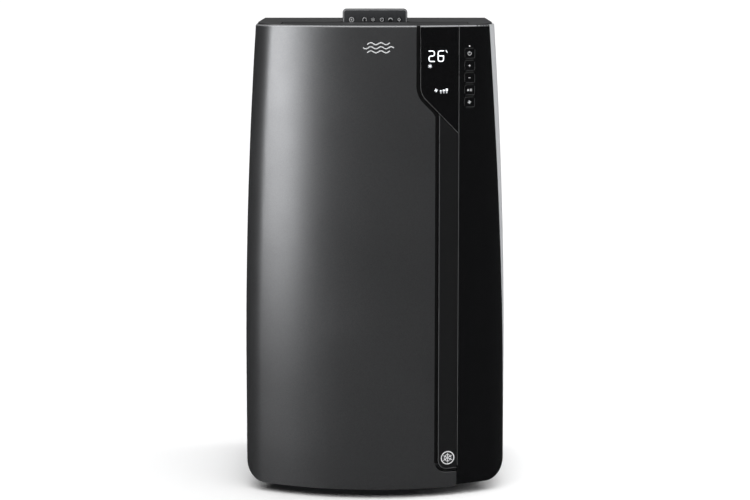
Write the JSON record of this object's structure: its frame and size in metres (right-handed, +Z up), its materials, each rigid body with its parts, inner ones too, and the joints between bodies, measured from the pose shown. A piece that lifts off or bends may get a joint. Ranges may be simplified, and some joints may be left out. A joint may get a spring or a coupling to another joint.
{
  "type": "portable air conditioner",
  "caption": "Free-standing portable air conditioner on castors: bowed front panels, display window, touch keys, top air outlet with hinged flap, docked remote control and rear exhaust spigot.",
  "frame": {"origin": "On the floor, at the middle of the overall width and depth, at the bottoms of the castor wheels.", "axes": "+Z up; the front with the display and keys faces -Y; +X is to the right of someone who faces the front."},
  "size_m": [0.414, 0.39, 0.7655],
  "materials": {
    "graphite": "satin metallic lacquer",
    "glossBlack": "high gloss",
    "satinBlack": "satin",
    "silver": "satin silver-grey",
    "coverGrey": "fine texture",
    "flapGrey": "satin",
    "mattBlack": "matt",
    "remoteGrey": "satin",
    "keyWhite": "matt",
    "tread": "matt, hard castor plastic",
    "zinc": "zinc-coated steel sheet",
    "fins": "finned coil block",
    "copper": "copper pipe",
    "enamel": "black enamel",
    "foam": "moulded foam and plastic ducting",
    "board": "circuit board",
    "filterMesh": "filter frame"
  },
  "bodies": {
    "cabinet": {"base_tray": "zinc", "front_panel": "graphite", "display_window": "glossBlack", "accent_strip": "satinBlack", "key_panel": "glossBlack", "front_frame": "mattBlack", "side_panel_left": "silver", "side_panel_right": "silver", "back_panel": "silver", "handle_cup_left": "silver", "handle_cup_right": "silver", "condenser_grille": "silver", "exhaust_collar": "silver", "cord_bush": "mattBlack", "top_cover": "coverGrey", "outlet_duct": "foam", "outlet_guard": "mattBlack", "flap_motor": "zinc", "remote_dock": "mattBlack", "display_board": "board", "control_box": "zinc", "exhaust_duct": "foam", "evaporator_coil": "fins", "condenser_coil": "fins", "compressor": "enamel", "suction_line": "copper", "discharge_line": "copper", "bulkhead_tray": "foam", "cool_scroll": "foam", "cool_fan_motor": "zinc", "hot_scroll": "foam", "hot_fan_motor": "zinc"},
    "outlet_flap": {"outlet_flap": "flapGrey"},
    "intake_grille": {"intake_grille": "silver", "air_filter": "filterMesh"},
    "remote": {"remote_body": "remoteGrey"},
    "remote_battery_cover": {"remote_battery_cover": "remoteGrey"},
    "remote_key_1": {"remote_key_1": "keyWhite"},
    "remote_key_2": {"remote_key_2": "keyWhite"},
    "remote_key_3": {"remote_key_3": "keyWhite"},
    "remote_key_4": {"remote_key_4": "keyWhite"},
    "remote_key_5": {"remote_key_5": "keyWhite"},
    "remote_key_6": {"remote_key_6": "keyWhite"},
    "key_power": {"key_power": "glossBlack"},
    "key_warmer": {"key_warmer": "glossBlack"},
    "key_cooler": {"key_cooler": "glossBlack"},
    "key_mode": {"key_mode": "glossBlack"},
    "key_fan": {"key_fan": "glossBlack"},
    "cool_blower_wheel": {"cool_blower_wheel": "satinBlack"},
    "hot_blower_wheel": {"hot_blower_wheel": "satinBlack"},
    "drain_plug": {"drain_plug": "mattBlack"},
    "water_float": {"water_float": "keyWhite"},
    "castor_fork_front_left": {"castor_fork_front_left": "mattBlack"},
    "castor_fork_front_right": {"castor_fork_front_right": "mattBlack"},
    "castor_fork_rear_left": {"castor_fork_rear_left": "mattBlack"},
    "castor_fork_rear_right": {"castor_fork_rear_right": "mattBlack"},
    "castor_wheels_front_left": {"castor_wheels_front_left": "tread"},
    "castor_wheels_front_right": {"castor_wheels_front_right": "tread"},
    "castor_wheels_rear_left": {"castor_wheels_rear_left": "tread"},
    "castor_wheels_rear_right": {"castor_wheels_rear_right": "tread"}
  },
  "joints": [
    {"name": "flap_hinge", "type": "hinge", "parent": "cabinet", "child": "outlet_flap", "pos_m": [0, -0.106, 0.7405], "axis": [-1, 0, 0], "range_deg": [0, 65]},
    {"name": "intake_grille_hinge", "type": "hinge", "parent": "cabinet", "child": "intake_grille", "pos_m": [0, 0.187, 0.466], "axis": [-1, 0, 0], "range_deg": [0, 60]},
    {"name": "remote_lift", "type": "slide", "parent": "cabinet", "child": "remote", "axis": [0, 0, 1], "range_m": [0, 0.07]},
    {"name": "remote_battery_cover_slide", "type": "slide", "parent": "remote", "child": "remote_battery_cover", "axis": [0, 0, 1], "range_m": [0, 0.045]},
    {"name": "remote_key_1_press", "type": "slide", "parent": "remote", "child": "remote_key_1", "axis": [0, 1, 0], "range_m": [0, 0.0006], "stiffness_N_per_m": 1500, "springref_m": -0.0004},
    {"name": "remote_key_2_press", "type": "slide", "parent": "remote", "child": "remote_key_2", "axis": [0, 1, 0], "range_m": [0, 0.0006], "stiffness_N_per_m": 1500, "springref_m": -0.0004},
    {"name": "remote_key_3_press", "type": "slide", "parent": "remote", "child": "remote_key_3", "axis": [0, 1, 0], "range_m": [0, 0.0006], "stiffness_N_per_m": 1500, "springref_m": -0.0004},
    {"name": "remote_key_4_press", "type": "slide", "parent": "remote", "child": "remote_key_4", "axis": [0, 1, 0], "range_m": [0, 0.0006], "stiffness_N_per_m": 1500, "springref_m": -0.0004},
    {"name": "remote_key_5_press", "type": "slide", "parent": "remote", "child": "remote_key_5", "axis": [0, 1, 0], "range_m": [0, 0.0006], "stiffness_N_per_m": 1500, "springref_m": -0.0004},
    {"name": "remote_key_6_press", "type": "slide", "parent": "remote", "child": "remote_key_6", "axis": [0, 1, 0], "range_m": [0, 0.0006], "stiffness_N_per_m": 1500, "springref_m": -0.0004},
    {"name": "key_power_press", "type": "slide", "parent": "cabinet", "child": "key_power", "axis": [-0.4129, 0.9108, 0], "range_m": [0, 0.001], "stiffness_N_per_m": 1200, "springref_m": -0.0005},
    {"name": "key_warmer_press", "type": "slide", "parent": "cabinet", "child": "key_warmer", "axis": [-0.4129, 0.9108, 0], "range_m": [0, 0.001], "stiffness_N_per_m": 1200, "springref_m": -0.0005},
    {"name": "key_cooler_press", "type": "slide", "parent": "cabinet", "child": "key_cooler", "axis": [-0.4129, 0.9108, 0], "range_m": [0, 0.001], "stiffness_N_per_m": 1200, "springref_m": -0.0005},
    {"name": "key_mode_press", "type": "slide", "parent": "cabinet", "child": "key_mode", "axis": [-0.4129, 0.9108, 0], "range_m": [0, 0.001], "stiffness_N_per_m": 1200, "springref_m": -0.0005},
    {"name": "key_fan_press", "type": "slide", "parent": "cabinet", "child": "key_fan", "axis": [-0.4129, 0.9108, 0], "range_m": [0, 0.001], "stiffness_N_per_m": 1200, "springref_m": -0.0005},
    {"name": "cool_blower_spin", "type": "hinge", "parent": "cabinet", "child": "cool_blower_wheel", "pos_m": [0.01, 0, 0.575], "axis": [0, 1, 0], "continuous": true},
    {"name": "hot_blower_spin", "type": "hinge", "parent": "cabinet", "child": "hot_blower_wheel", "pos_m": [0.03, 0, 0.196], "axis": [0, 1, 0], "continuous": true},
    {"name": "drain_plug_pull", "type": "slide", "parent": "cabinet", "child": "drain_plug", "axis": [0, 1, 0], "range_m": [0, 0.03]},
    {"name": "float_rise", "type": "slide", "parent": "cabinet", "child": "water_float", "axis": [0, 0, 1], "range_m": [0, 0.012]},
    {"name": "castor_swivel_front_left", "type": "hinge", "parent": "cabinet", "child": "castor_fork_front_left", "pos_m": [-0.138, -0.085, 0.044], "axis": [0, 0, 1], "continuous": true},
    {"name": "castor_roll_front_left", "type": "hinge", "parent": "castor_fork_front_left", "child": "castor_wheels_front_left", "pos_m": [-0.138, -0.071, 0.02], "axis": [1, 0, 0], "continuous": true},
    {"name": "castor_swivel_front_right", "type": "hinge", "parent": "cabinet", "child": "castor_fork_front_right", "pos_m": [0.138, -0.085, 0.044], "axis": [0, 0, 1], "continuous": true},
    {"name": "castor_roll_front_right", "type": "hinge", "parent": "castor_fork_front_right", "child": "castor_wheels_front_right", "pos_m": [0.138, -0.071, 0.02], "axis": [1, 0, 0], "continuous": true},
    {"name": "castor_swivel_rear_left", "type": "hinge", "parent": "cabinet", "child": "castor_fork_rear_left", "pos_m": [-0.138, 0.116, 0.044], "axis": [0, 0, 1], "continuous": true},
    {"name": "castor_roll_rear_left", "type": "hinge", "parent": "castor_fork_rear_left", "child": "castor_wheels_rear_left", "pos_m": [-0.138, 0.13, 0.02], "axis": [1, 0, 0], "continuous": true},
    {"name": "castor_swivel_rear_right", "type": "hinge", "parent": "cabinet", "child": "castor_fork_rear_right", "pos_m": [0.138, 0.116, 0.044], "axis": [0, 0, 1], "continuous": true},
    {"name": "castor_roll_rear_right", "type": "hinge", "parent": "castor_fork_rear_right", "child": "castor_wheels_rear_right", "pos_m": [0.138, 0.13, 0.02], "axis": [1, 0, 0], "continuous": true}
  ]
}
